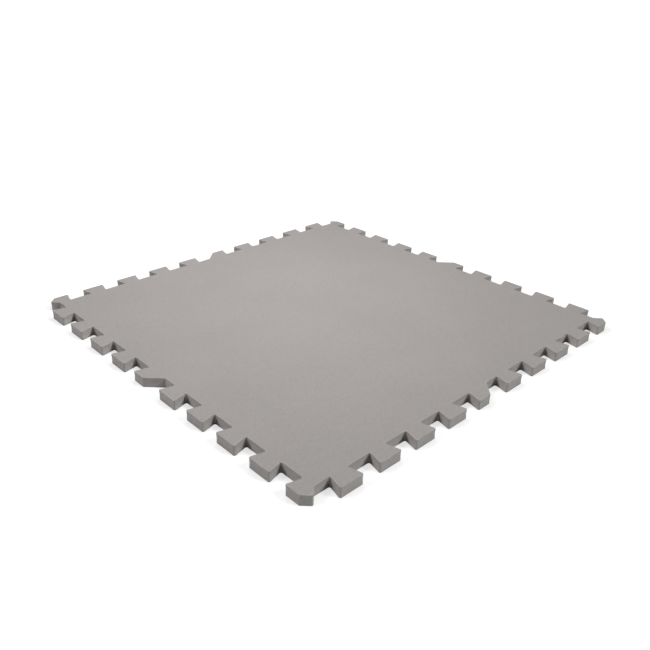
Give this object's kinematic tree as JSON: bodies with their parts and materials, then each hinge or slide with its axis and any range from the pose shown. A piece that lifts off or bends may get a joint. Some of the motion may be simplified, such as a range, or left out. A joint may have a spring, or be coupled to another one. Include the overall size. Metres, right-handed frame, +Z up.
{
  "type": "foam blocking mat tile",
  "caption": "Square grey foam blocking mat tile with dovetail tabs on every edge that lock into matching tiles.",
  "frame": {"origin": "middle of the tile, on the surface that it lies on", "axes": "+Z up through the thickness; X and Y along the tile's sides"},
  "size_m": [0.3154, 0.3154, 0.0072],
  "materials": {
    "top_skin": "matte fine-grained embossed foam skin",
    "foam_core": "matte die-cut closed-cell foam",
    "base_skin": "matte fine-grained embossed foam skin"
  },
  "bodies": {
    "root": {"top_skin": "top_skin", "foam_core": "foam_core", "base_skin": "base_skin"}
  },
  "joints": []
}
